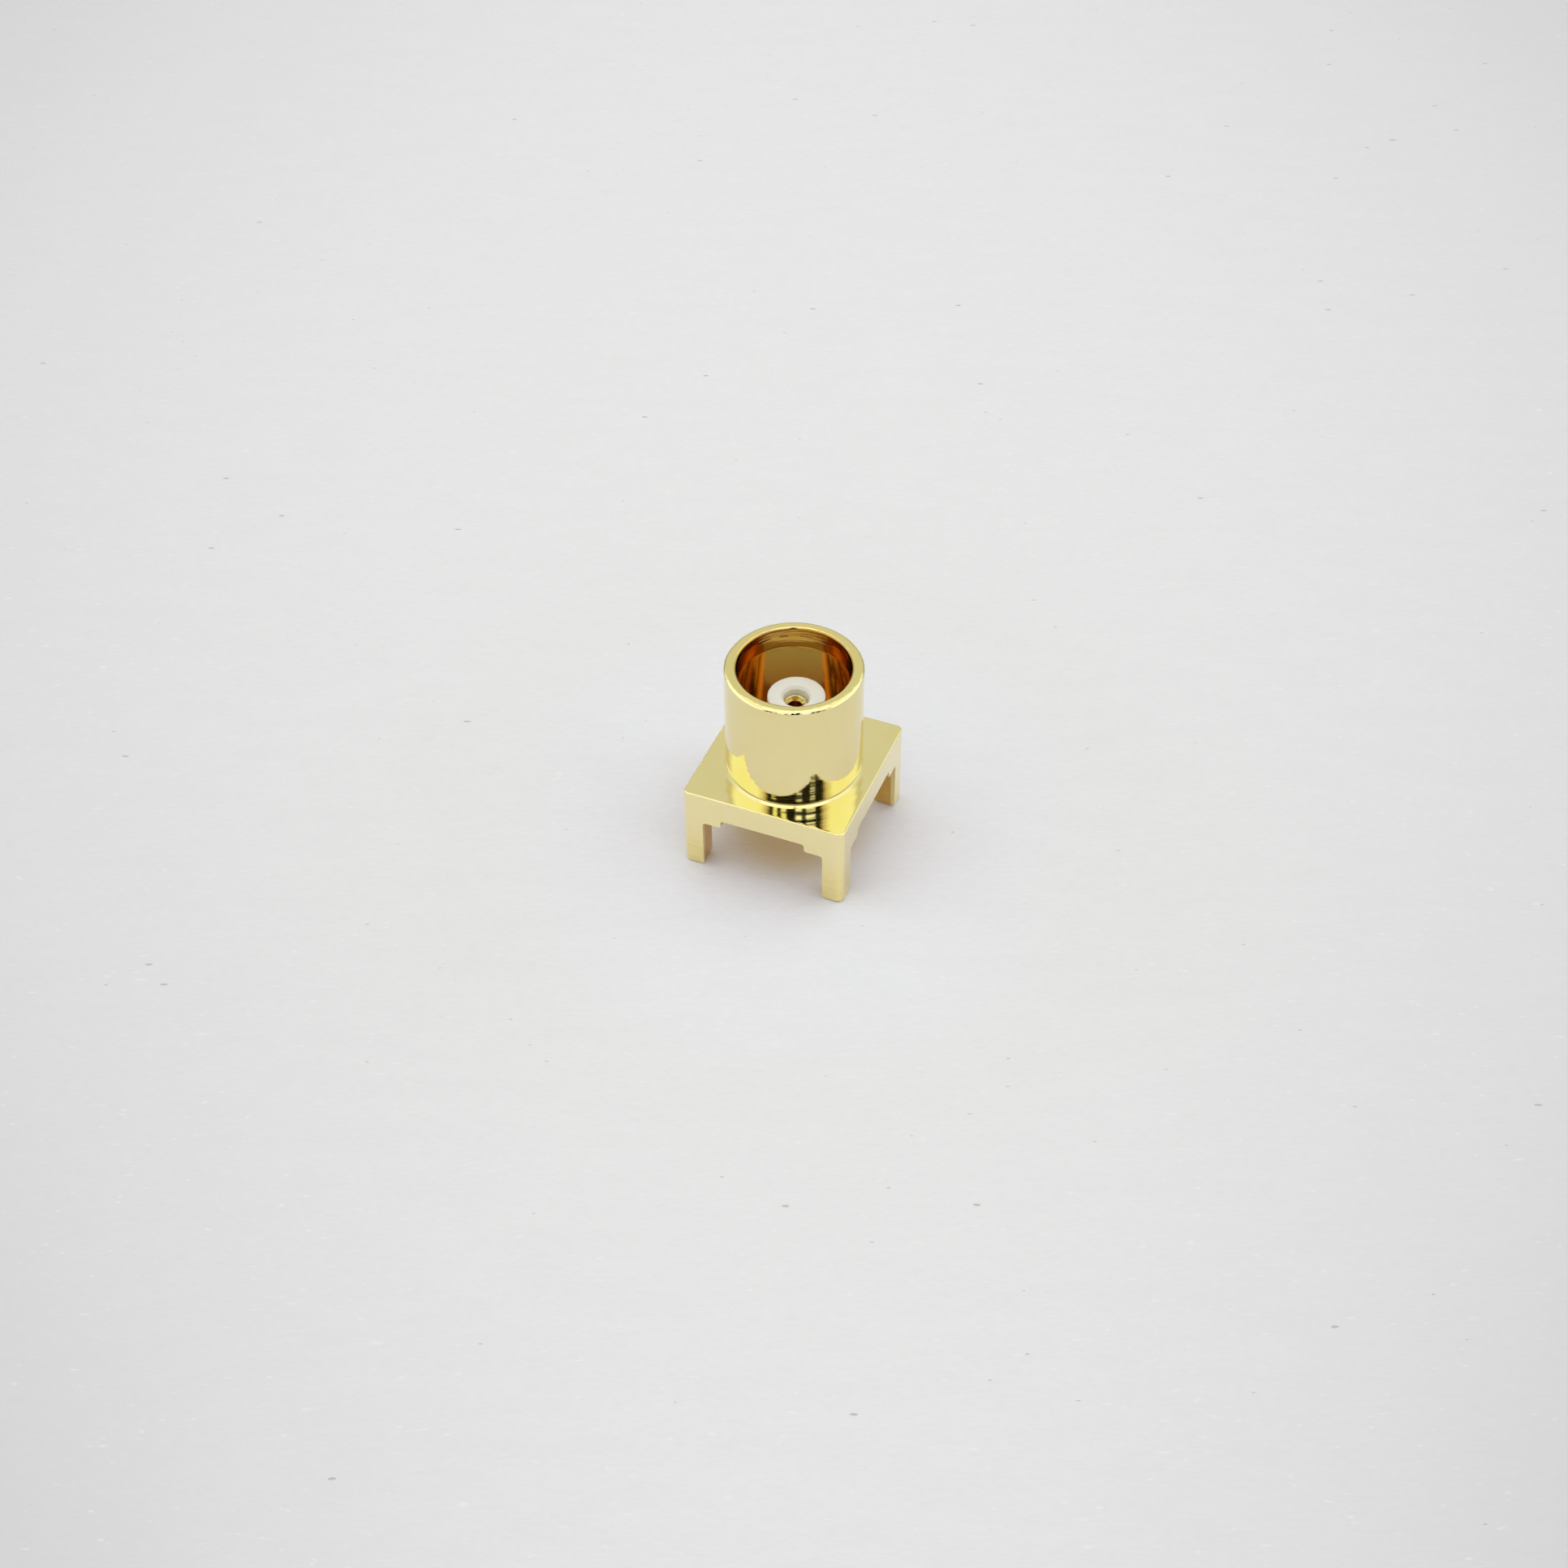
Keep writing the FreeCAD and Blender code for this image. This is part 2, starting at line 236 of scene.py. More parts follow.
def rounded(corners, steps=6):
    """Polyline through corners (x, y) or (x, y, radius); a radius becomes an arc."""
    points = []
    for index, (x, y, *radius) in enumerate(corners):
        here = Vector((x, y))
        if not radius:
            points.append(here)
            continue
        back = (Vector(corners[index - 1][:2]) - here).normalized()
        ahead = (Vector(corners[(index + 1) % len(corners)][:2]) - here).normalized()
        half = back.angle(ahead) / 2
        hub = here + (back + ahead).normalized() * (radius[0] / math.sin(half))
        reach = radius[0] / math.tan(half)
        start = here + back * reach - hub
        end = here + ahead * reach - hub
        first = math.atan2(start.y, start.x)
        sweep = math.remainder(math.atan2(end.y, end.x) - first, math.tau)
        for step in range(steps + 1):
            angle = first + sweep * step / steps
            points.append(hub + radius[0] * Vector((math.cos(angle), math.sin(angle))))
    return points


def add_face(bm, corners, material=0):
    """Face from vertices, without the ones that fall together."""
    corners = list(dict.fromkeys(corners))
    if len(corners) > 2:
        face = bm.faces.new(corners)
        face.material_index = material


def join_rings(bm, low, high, material):
    """Faces between two closed rings of as many vertices."""
    for index in range(len(low)):
        after = (index + 1) % len(low)
        add_face(bm, (low[index], low[after], high[after], high[index]), material)


def turn_path(bm, path, material=0, steps=TURN_STEPS):
    """Turns a path of (radius, height) round the Z axis and returns its first and last ring."""
    angles = [math.tau * step / steps for step in range(steps)]
    rings = []
    for radius, height in path:
        if radius < 1e-6:
            rings.append([bm.verts.new((0, 0, height))] * steps)
            continue
        ring = [(radius * math.cos(angle), radius * math.sin(angle), height) for angle in angles]
        rings.append([bm.verts.new(point) for point in ring])
    for low, high in zip(rings, rings[1:]):
        join_rings(bm, low, high, material)
    return rings[0], rings[-1]


def zip_rings(bm, inner, outer, material=0):
    """Triangles between two closed rings that both run once round the Z axis."""
    def angle(vertex):
        return math.atan2(vertex.co.y, vertex.co.x) % math.tau

    def sorted_ring(ring):
        start = min(range(len(ring)), key=lambda index: angle(ring[index]))
        turned = ring[start:] + ring[:start]
        return turned + [turned[0]], [angle(v) for v in turned] + [angle(turned[0]) + math.tau]

    inner, inner_angles = sorted_ring(inner)
    outer, outer_angles = sorted_ring(outer)
    i = j = 0
    while i < len(inner) - 1 or j < len(outer) - 1:
        inner_next = inner_angles[i + 1] if i < len(inner) - 1 else math.inf
        outer_next = outer_angles[j + 1] if j < len(outer) - 1 else math.inf
        if inner_next < outer_next:
            add_face(bm, (inner[i], outer[j], inner[i + 1]), material)
            i += 1
        else:
            add_face(bm, (inner[i], outer[j], outer[j + 1]), material)
            j += 1


def new_object(bm, name):
    """Object in the scene with the mesh of bm, which is freed."""
    mesh = bpy.data.meshes.new(name)
    bm.to_mesh(mesh)
    bm.free()
    item = bpy.data.objects.new(name, mesh)
    bpy.context.scene.collection.objects.link(item)
    return item


def finish_mesh(bm, name, materials, node):
    """Object in metres, smooth with its flat faces kept flat, that stands for its CAD node."""
    bmesh.ops.recalc_face_normals(bm, faces=bm.faces)
    bmesh.ops.scale(bm, vec=(MM, MM, MM), verts=bm.verts)
    piece = new_object(bm, name)
    piece.data.shade_smooth()
    for material in materials:
        piece.data.materials.append(material)
    weighted = piece.modifiers.new("weighted", "WEIGHTED_NORMAL")
    weighted.mode = "FACE_AREA"
    weighted.keep_sharp = False
    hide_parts(node)
    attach(piece, "root")
    return piece


# Connector body

TURNED, MILLED, BORED, SHADED_UNDER = 0, 1, 2, 3


def underside_nodes():
    """Section that the cutter leaves, from one outer face to the other, as (across, height)."""
    corners = [
        (PAD_INNER - CUTTER_RADIUS, RELIEF),
        (PAD_INNER, RELIEF, CUTTER_RADIUS),
        (PAD_INNER, 0.0, STEP_RADIUS),
        (LEG_INNER, 0.0, CUTTER_RADIUS),
        (LEG_INNER, LEG_TIP, TIP_RADIUS),
        (HALF_SIDE - CORNER_RADIUS, LEG_TIP),
        *((HALF_SIDE - inset, LEG_TIP) for inset in CORNER_INSETS),
        (HALF_SIDE, LEG_TIP, TIP_RADIUS),
        (HALF_SIDE, 0.0),
    ]
    outer = rounded(corners)[1:-1]
    middle = [Vector((across, RELIEF)) for across in RELIEF_POINTS]
    mirrored = [Vector((-point.x, point.y)) for point in reversed(outer)]
    return mirrored + middle + outer


def corner_angle(across, along):
    """Angle in radians and distance in radii of a point in a rounded corner's square cell."""
    reach = max(across, along)
    if reach < 1e-9:
        return 0.0, 0.0
    angle = math.pi / 4 * (along / across if across >= along else 2 - across / along)
    return angle, reach


def on_bar(x, y):
    """Moves a point of the square section on to the bar, whose long edges are rounded."""
    hub = HALF_SIDE - CORNER_RADIUS
    across = (abs(x) - hub) / CORNER_RADIUS
    along = (abs(y) - hub) / CORNER_RADIUS
    if min(across, along) <= 0:
        return x, y
    angle, reach = corner_angle(across, along)
    radius = reach * CORNER_RADIUS
    return (
        math.copysign(hub + radius * math.cos(angle), x),
        math.copysign(hub + radius * math.sin(angle), y),
    )


def quarter_turn(x, y, quarter):
    """Turns a point round the Z axis by this many quarters."""
    for _ in range(quarter):
        x, y = -y, x
    return x, y


def build_underside(bm, nodes):
    """Legs, pads and relief: two crossing cuts of the same section. Returns a vertex finder."""
    known = {}

    def vertex(x, y, z):
        x, y = on_bar(x, y)
        key = (round(x, 5), round(y, 5), round(z, 5))
        if key not in known:
            known[key] = bm.verts.new((x, y, z))
        return known[key]

    def at(i, j):
        return vertex(nodes[i].x, nodes[j].x, max(nodes[i].y, nodes[j].y))

    open_half = PAD_INNER - CUTTER_RADIUS + 1e-6
    half_count = len(nodes) / 2
    for i in range(len(nodes) - 1):
        for j in range(len(nodes) - 1):
            reach = max(abs(nodes[k].x) for k in (i, i + 1, j, j + 1))
            if reach < open_half:
                continue
            low, beside, high, above = at(i, j), at(i + 1, j), at(i + 1, j + 1), at(i, j + 1)
            if (i < half_count) == (j < half_count):
                add_face(bm, (low, beside, high), MILLED)
                add_face(bm, (low, high, above), MILLED)
            else:
                add_face(bm, (low, beside, above), MILLED)
                add_face(bm, (beside, high, above), MILLED)
    return vertex


def relief_ring(nodes, vertex):
    """Vertices round the square opening in the middle of the relief."""
    half = PAD_INNER - CUTTER_RADIUS
    across = [node.x for node in nodes if abs(node.x) < half + 1e-6]
    ring = []
    for quarter in range(4):
        for x in across[:-1]:
            ring.append(vertex(*quarter_turn(x, -half, quarter), RELIEF))
    return ring


def side_chain(nodes, vertex, quarter):
    """Bottom vertices of one flat side, then of the rounded corner that follows it."""
    hub = HALF_SIDE - CORNER_RADIUS
    foot = nodes[0].y
    flat = [node for node in nodes if abs(node.x) < hub + 1e-6]
    corner = [node.x for node in nodes if node.x > hub - 1e-6]
    side = [vertex(*quarter_turn(n.x, -HALF_SIDE, quarter), max(n.y, foot)) for n in flat]
    bend = [vertex(*quarter_turn(x, -HALF_SIDE, quarter), foot) for x in corner]
    bend += [vertex(*quarter_turn(HALF_SIDE, -x, quarter), foot) for x in reversed(corner[:-1])]
    return side, bend


def edge_wear(quarter, source):
    """Burr along the top edge: how far a point is pushed in and up, in millimetres."""
    least, longest, push, lift = BURRS if quarter == BURR_QUARTER else FAINT_BURRS
    tick = min(max(0.0, source.gauss(0.0, 1.0) - least), longest)
    return push * tick, lift * tick


def build_top_edge(bm, nodes, chains):
    """Sides of the flange and its rounded top edge. Returns the ring on the flange top."""
    hub = HALF_SIDE - CORNER_RADIUS
    source = random.Random(7)
    straight = [-hub + 2 * hub * step / SIDE_STEPS for step in range(SIDE_STEPS + 1)]
    bends = [(node.x - hub) / CORNER_RADIUS for node in nodes if node.x > hub - 1e-6]
    angles = [math.pi / 4 * bend for bend in bends]
    angles += [math.pi / 2 - angle for angle in reversed(angles[:-1])]
    wear = [[edge_wear(quarter, source) for _ in straight] for quarter in range(4)]

    def ring_at(inset, height, worn):
        """Ring of four rows, each a straight side and the corner that follows it."""
        ring = []
        for quarter in range(4):
            row = []
            for step, x in enumerate(straight):
                push, lift = wear[quarter][step] if 0 < step < SIDE_STEPS else (0.0, 0.0)
                y = -HALF_SIDE + inset + push * worn
                row.append((*quarter_turn(x, y, quarter), height + lift * worn))
            radius = CORNER_RADIUS - inset
            for angle in angles[1:-1]:
                x = hub + radius * math.sin(angle)
                y = -hub - radius * math.cos(angle)
                row.append((*quarter_turn(x, y, quarter), height))
            ring.append([bm.verts.new(point) for point in row])
        return ring

    levels = []
    for step in range(EDGE_STEPS + 1):
        angle = math.pi / 2 * step / EDGE_STEPS
        inset = TOP_EDGE * (1 - math.cos(angle))
        height = FLANGE_TOP - TOP_EDGE * (1 - math.sin(angle))
        levels.append(ring_at(inset, height, math.sin(angle * 2) ** 2))
    levels.append(ring_at(TOP_MARGIN, FLANGE_TOP, 0.0))
    whole_rings = [[v for row in ring for v in row] for ring in levels]
    for level, (low, high) in enumerate(zip(whole_rings, whole_rings[1:])):
        join_rings(bm, low, high, MILLED if level < TURNED_LEVELS else TURNED)

    for quarter, (side, bend) in enumerate(chains):
        row = levels[0][quarter]
        following = levels[0][(quarter + 1) % 4][0]
        add_face(bm, side + list(reversed(row[: SIDE_STEPS + 1])), MILLED)
        upper = row[SIDE_STEPS:] + [following]
        for index in range(len(bend) - 1):
            add_face(bm, (bend[index], bend[index + 1], upper[index + 1], upper[index]), MILLED)
    return whole_rings[-1]


def soften_milled_edges(bm):
    """Small rounding of every sharp outward edge that the cutter leaves."""
    bm.normal_update()
    sharp = [
        edge for edge in bm.edges
        if len(edge.link_faces) == 2
        and edge.is_convex
        and edge.calc_face_angle() > math.radians(SHARP_ANGLE)
    ]
    bmesh.ops.bevel(
        bm, geom=sharp, offset=MILLED_EDGE, offset_type="OFFSET", segments=2, profile=0.5,
        affect="EDGES", clamp_overlap=True, material=MILLED,
    )


def barrel_path():
    """From the underside, up the bore, over the rim and down to the flange top."""
    corners = [
        (COLLAR + COLLAR_CHAMFER, RELIEF),
        (COLLAR, RELIEF + COLLAR_CHAMFER),
        (COLLAR, SEAT, 0.03),
        (LIP, SEAT, 0.02),
        (LIP, GAP_FLOOR, 0.02),
        (GROOVE, GAP_FLOOR, 0.06),
        (GROOVE, GROOVE_TOP, 0.05),
        (NECK, NECK_FOOT, 0.025),
        (NECK, NECK_TOP, 0.06),
        (MOUTH, RIM - MOUTH_DROP, 0.012),
        (RIM_INNER, RIM, 0.06),
        (RIM_OUTER, RIM, 0.20),
        (BARREL, RIM - RIM_DROP, 0.035),
        (BARREL, FLANGE_TOP + FOOT_RISE, 0.02),
        (FOOT_RING, FLANGE_TOP, 0.04),
        (FLANGE_RING, FLANGE_TOP),
    ]
    return rounded(corners, steps=8)


def in_bore(place):
    """Whether a place is inside the barrel, above the flange and below the rim."""
    return FLANGE_TOP + 0.1 < place.z < RIM - 0.02 and place.xy.length < BARREL - 0.1


def between_legs(place):
    """Whether a place is under the flange and inside its outer faces."""
    return place.z < RELIEF + 0.02 and max(abs(place.x), abs(place.y)) < HALF_SIDE - 0.13


def build_body(materials):
    """Barrel, flange, pads and legs as one closed mesh."""
    bm = bmesh.new()
    nodes = underside_nodes()
    vertex = build_underside(bm, nodes)
    chains = [side_chain(nodes, vertex, quarter) for quarter in range(4)]
    top_ring = build_top_edge(bm, nodes, chains)
    relief = relief_ring(nodes, vertex)
    bmesh.ops.recalc_face_normals(bm, faces=bm.faces)
    soften_milled_edges(bm)
    bottom, top = turn_path(bm, barrel_path(), TURNED)
    for face in bm.faces:
        middle = face.calc_center_median()
        if in_bore(middle):
            face.material_index = BORED
        elif between_legs(middle):
            face.material_index = SHADED_UNDER
    zip_rings(bm, bottom, relief, SHADED_UNDER)
    zip_rings(bm, top, top_ring, TURNED)
    return finish_mesh(bm, "jack_body", materials, "connector_body")


# Insulator and contact

PLATED, SOCKET_INSIDE = 0, 1


def lean(bm, shift):
    """Moves the post's face, and what stands above it, by the shift, and less further down."""
    right, _, back = camera_axes()
    away = Vector((-back.x, -back.y, 0.0)).normalized()
    whole = right * shift[0] + away * shift[1]
    for vertex in bm.verts:
        share = (vertex.co.z - GAP_FLOOR) / (POST_FACE - GAP_FLOOR)
        vertex.co += whole * min(max(share, 0.0), 1.0)


def build_insulator(material):
    """Post and collar, with the countersink and the stepped bore of the contact."""
    bm = bmesh.new()
    path = rounded([
        (SHOULDER, RELIEF, 0.02),
        (COLLAR, RELIEF, 0.03),
        (COLLAR, SEAT, 0.03),
        (POST, SEAT),
        (POST, POST_FACE, 0.03),
        (FUNNEL, POST_FACE, 0.07),
        (TINE_BORE, POST_FACE - FUNNEL_DEPTH, 0.02),
        (TINE_BORE, GRIP_TOP),
        (GRIP, GRIP_TOP),
        (GRIP, SHOULDER_TOP),
        (SHOULDER, SHOULDER_TOP),
    ])
    turn_path(bm, path + path[:1], steps=SMALL_TURN_STEPS)
    bmesh.ops.remove_doubles(bm, verts=bm.verts, dist=1e-6)
    lean(bm, POST_SHIFT)
    return finish_mesh(bm, "jack_insulator", [material], "insulator")


def turned_contact():
    """Contact as it leaves the lathe, without its slot."""
    bm = bmesh.new()
    path = rounded([
        (0.0, TAIL_TIP),
        (GRIP - TAIL_BEVEL, TAIL_TIP, 0.04),
        (GRIP, TAIL_TIP + TAIL_BEVEL_HEIGHT, 0.06),
        (GRIP, RELIEF, 0.02),
        (SHOULDER, RELIEF, 0.02),
        (SHOULDER, SHOULDER_TOP),
        (GRIP, SHOULDER_TOP),
        (GRIP, CONTACT_TIP, 0.05),
        (SOCKET_MOUTH, CONTACT_TIP, 0.03),
        (SOCKET, CONTACT_TIP - SOCKET_LEAD, 0.03),
        (SOCKET, CONTACT_TIP - SOCKET_DEPTH),
        (0.0, CONTACT_TIP - SOCKET_DEPTH),
    ])
    turn_path(bm, path, steps=SMALL_TURN_STEPS)
    bmesh.ops.recalc_face_normals(bm, faces=bm.faces)
    return new_object(bm, "whole_contact")


def slot_blade():
    """Thin block that cuts the socket end into two tines."""
    bm = bmesh.new()
    height = CONTACT_TIP + 0.2 - SLOT_FOOT
    turn = Matrix.Rotation(math.radians(SLOT_TURN), 3, "Z")
    bmesh.ops.create_cube(bm, size=1.0)
    bmesh.ops.scale(bm, vec=(SLOT_WIDTH, 2.0, height), verts=bm.verts)
    bmesh.ops.translate(bm, vec=(0, 0, SLOT_FOOT + height / 2), verts=bm.verts)
    bmesh.ops.rotate(bm, cent=(0, 0, 0), matrix=turn, verts=bm.verts)
    bmesh.ops.recalc_face_normals(bm, faces=bm.faces)
    return new_object(bm, "blade")


def in_socket(place):
    """Whether a place is inside the contact's socket, below its lead-in."""
    return SLOT_FOOT - 1.0 < place.z < CONTACT_TIP - 0.09 and place.xy.length < SOCKET + 0.02


def build_contact(materials):
    """Turned contact with its slot cut by the blade."""
    blade = slot_blade()
    blank = turned_contact()
    cut = blank.modifiers.new("slot", "BOOLEAN")
    cut.operation = "DIFFERENCE"
    cut.solver = "EXACT"
    cut.object = blade
    bpy.context.view_layer.update()
    evaluated = blank.evaluated_get(bpy.context.evaluated_depsgraph_get())
    bm = bmesh.new()
    bm.from_mesh(evaluated.to_mesh())
    evaluated.to_mesh_clear()
    for item in (blade, blank):
        bpy.data.objects.remove(item)
    for face in bm.faces:
        if in_socket(face.calc_center_median()):
            face.material_index = SOCKET_INSIDE
    lean(bm, CONTACT_SHIFT)
    return finish_mesh(bm, "jack_contact", materials, "centre_contact")


# Materials

class Nodes:
    """Short way to write a node tree."""

    def __init__(self, tree):
        self.tree = tree
        tree.nodes.clear()

    def add(self, kind, **settings):
        node = self.tree.nodes.new(kind)
        for name, value in settings.items():
            setattr(node, name, value)
        return node

    def join(self, source, target):
        self.tree.links.new(source, target)

    def feed(self, socket, value):
        """Sets a socket to a number or colour, or links it."""
        if isinstance(value, bpy.types.NodeSocket):
            self.join(value, socket)
        else:
            socket.default_value = value

    def math(self, operation, *values):
        node = self.add("ShaderNodeMath", operation=operation)
        for socket, value in zip(node.inputs, values):
            self.feed(socket, value)
        return node.outputs[0]

    def vector(self, operation, *values):
        node = self.add("ShaderNodeVectorMath", operation=operation)
        for socket, value in zip(node.inputs, values):
            self.feed(socket, value)
        return node.outputs["Value" if operation in ("LENGTH", "DOT_PRODUCT") else "Vector"]

    def split(self, vector):
        """The three parts of a vector."""
        node = self.add("ShaderNodeSeparateXYZ")
        self.join(vector, node.inputs[0])
        return node.outputs

    def span(self, value, low, high, start=0.0, end=1.0):
        """Maps low..high smoothly to start..end and holds both ends."""
        node = self.add("ShaderNodeMapRange", interpolation_type="SMOOTHSTEP", clamp=True)
        for name, number in zip(("Value", "From Min", "From Max", "To Min", "To Max"),
                                (value, low, high, start, end)):
            self.feed(node.inputs[name], number)
        return node.outputs["Result"]

    def band(self, value, low, high, soft):
        """One between low and high, and nought outside, with soft ends."""
        rising = self.span(value, low - soft, low + soft)
        falling = self.span(value, high - soft, high + soft, 1.0, 0.0)
        return self.math("MULTIPLY", rising, falling)

    def mix(self, share, first, second):
        node = self.add("ShaderNodeMix", data_type="RGBA")
        for socket, value in zip((node.inputs[0], node.inputs[6], node.inputs[7]),
                                 (share, first, second)):
            self.feed(socket, value)
        return node.outputs[2]

    def noise(self, place, scale, detail=2.0, roughness=0.5, turn=None):
        """Noise at a place, in four dimensions where a turn is given."""
        node = self.add("ShaderNodeTexNoise")
        if turn is not None:
            node.noise_dimensions = "4D"
            self.join(turn, node.inputs["W"])
        self.join(place, node.inputs["Vector"])
        for name, number in zip(("Scale", "Detail", "Roughness"), (scale, detail, roughness)):
            node.inputs[name].default_value = number
        return node.outputs["Fac"]

    def place_mm(self):
        """Place on the object, in millimetres."""
        place = self.add("ShaderNodeTexCoord").outputs["Object"]
        scaled = self.add("ShaderNodeVectorMath", operation="SCALE")
        self.join(place, scaled.inputs[0])
        scaled.inputs["Scale"].default_value = 1 / MM
        return scaled.outputs["Vector"]

    def turned_noise(self, place, scale, detail=2.0, roughness=0.5, drift=0.3):
        """Noise of the radius and height, which changes slowly round the Z axis."""
        flat = self.vector("MULTIPLY", place, (1.0, 1.0, 0.0))
        round_axis = self.split(self.vector("NORMALIZE", flat))
        section = self.add("ShaderNodeCombineXYZ")
        self.join(self.vector("LENGTH", flat), section.inputs[0])
        self.join(self.split(place)["Z"], section.inputs[1])
        self.join(self.math("MULTIPLY", round_axis["X"], drift), section.inputs[2])
        turn = self.math("MULTIPLY", round_axis["Y"], drift)
        return self.noise(section.outputs[0], scale, detail, roughness, turn)

    def bump(self, height, size_mm, normal=None):
        """Bump of a height from 0 to 1 that stands for this many millimetres."""
        node = self.add("ShaderNodeBump")
        node.inputs["Distance"].default_value = size_mm * MM
        self.join(height, node.inputs["Height"])
        if normal is not None:
            self.join(normal, node.inputs["Normal"])
        return node.outputs["Normal"]


def new_material(name):
    """Material, its nodes and the place on the object in millimetres."""
    material = bpy.data.materials.new(name)
    material.use_nodes = True
    nodes = Nodes(material.node_tree)
    return material, nodes, nodes.place_mm()


def shader(nodes, **values):
    """Principled shader with its sockets set or linked, joined to the output."""
    principled = nodes.add("ShaderNodeBsdfPrincipled")
    output = nodes.add("ShaderNodeOutputMaterial")
    nodes.join(principled.outputs[0], output.inputs[0])
    for name, value in values.items():
        nodes.feed(principled.inputs[name.replace("_", " ")], value)


def plated(nodes, place):
    """Colour of the plating, with faint clouds."""
    cloud = nodes.noise(place, scale=0.9)
    return nodes.mix(nodes.span(cloud, *NOISE_MIDDLE), GOLD, GOLD_DEEP)


def turned_gold():
    """Plated barrel and flange top: near mirror, with the waves and marks of the turning tool."""
    material, nodes, place = new_material("gold_turned")
    height = nodes.split(place)["Z"]
    fine = nodes.turned_noise(place, scale=26.0, detail=3.0, roughness=0.6)
    waves = nodes.turned_noise(place, scale=4.6, detail=1.0)
    waves = nodes.math("MULTIPLY", waves, nodes.span(height, *WAVES_CALM, 1.0, 0.75))
    dents = nodes.noise(place, scale=2.6, detail=1.0)
    dents = nodes.math("MULTIPLY", dents, nodes.span(height, *RIM_DENTS))
    normal = nodes.bump(waves, 0.0075, nodes.bump(dents, 0.028))
    # Painted shade: the rim's top gets a deeper tone that dims its reflection.
    shader(
        nodes,
        Base_Color=nodes.mix(nodes.span(height, *RIM_SHADE), plated(nodes, place), GOLD_RIM_SHADED),
        Metallic=1.0,
        Coat_Weight=0.2,
        Coat_Roughness=0.04,
        Roughness=nodes.span(fine, *NOISE_RANGE, 0.05, 0.10),
        Normal=nodes.bump(fine, 0.0006, normal),
    )
    return material


def bored_gold():
    """Plating inside the bore, with tool marks that are strongest at the neck; its colour is
    painted light and shade: lighter at the mouth, darker and deeper further down, painted dark
    reflections at the neck and painted shade at the floor of the gap.
    """
    material, nodes, place = new_material("gold_bored")
    height = nodes.split(place)["Z"]
    neck = nodes.span(height, *NECK_MARKS_AND_REFLECTION)
    fine = nodes.turned_noise(place, scale=30.0, drift=0.05)
    ridges = nodes.turned_noise(place, scale=6.0, roughness=0.6, drift=0.16)
    reflection_patch_noise = nodes.turned_noise(place, scale=6.0, roughness=0.6, drift=0.2)
    broken = nodes.noise(place, scale=1.3, detail=3.0, roughness=0.6)
    line = nodes.span(height, *NECK_LINE_START)
    line = nodes.math("MULTIPLY", line, nodes.span(height, *NECK_LINE_END, 1.0, 0.0))
    line = nodes.math("MULTIPLY", line, nodes.span(broken, 0.44, 0.54))
    # Painted light and shade: the bore is lighter near the mouth and darker, deeper in colour
    # further down.
    tone = nodes.mix(nodes.span(height, *BORE_SHADE_DEEPENS), GOLD_BORE_LIT, GOLD_BORE_SHADED)
    # Painted shade: darker towards the floor of the gap round the post.
    tone = nodes.mix(nodes.span(height, *GAP_SHADE_STARTS), tone, BORE_GAP_SHADE)
    # Painted reflection: the neck is darker orange, with a broken dark line and brown patches.
    tone = nodes.mix(neck, tone, GOLD_NECK_REFLECTION)
    tone = nodes.mix(line, tone, NECK_LINE_REFLECTION)
    reflection_patches = nodes.math("MULTIPLY", nodes.span(reflection_patch_noise, 0.52, 0.66), neck)
    ridges = nodes.math("MULTIPLY", ridges, neck)
    shader(
        nodes,
        Base_Color=nodes.mix(reflection_patches, tone, NECK_PATCH_REFLECTION),
        Metallic=1.0,
        Roughness=nodes.span(fine, *NOISE_RANGE, 0.08, 0.14),
        Normal=nodes.bump(ridges, 0.010, nodes.bump(fine, 0.0010)),
    )
    return material


def milled_gold():
    """Plated sides, pads and legs: a little duller, with marks of the cutter and painted shade
    towards the leg tips.
    """
    material, nodes, place = new_material("gold_milled")
    marks = nodes.vector("MULTIPLY", place, CUTTER_MARKS)
    marks = nodes.noise(marks, scale=1.6, detail=3.0, roughness=0.6)
    # Painted shade: the legs turn deeper in colour towards their tips; the same mask places the
    # scored marks.
    tip_shade_and_marks = nodes.span(nodes.split(place)["Z"], *LEG_SHADE_AND_MARKS)
    scored = nodes.noise(nodes.vector("MULTIPLY", place, SCORE_MARKS), scale=1.0)
    scored = nodes.math("MULTIPLY", nodes.span(scored, 0.54, 0.70, 0.0, 0.35), tip_shade_and_marks)
    shader(
        nodes,
        Base_Color=nodes.mix(scored, nodes.mix(tip_shade_and_marks, GOLD_PALE, GOLD_TIP_SHADED), GOLD_SCORED),
        Metallic=1.0,
        Roughness=nodes.span(marks, *NOISE_RANGE, 0.10, 0.17),
        Coat_Weight=0.5,
        Coat_Roughness=0.1,
        Normal=nodes.bump(marks, 0.0012),
    )
    return material


def under_gold():
    """Plating between the legs, under the flange: painted darker and deeper in colour as painted
    shade, with marks of the cutter.
    """
    material, nodes, place = new_material("gold_under_shaded")
    marks = nodes.vector("MULTIPLY", place, CUTTER_MARKS)
    marks = nodes.noise(marks, scale=1.6, detail=3.0, roughness=0.6)
    cloud = nodes.noise(place, scale=1.6, detail=3.0)
    shader(
        nodes,
        Base_Color=nodes.mix(nodes.span(cloud, *NOISE_MIDDLE), GOLD_UNDER_SHADED, GOLD_UNDER_SHADED_DEEP),
        Metallic=1.0,
        Roughness=nodes.span(marks, *NOISE_RANGE, 0.12, 0.20),
        Normal=nodes.bump(marks, 0.0012),
    )
    return material


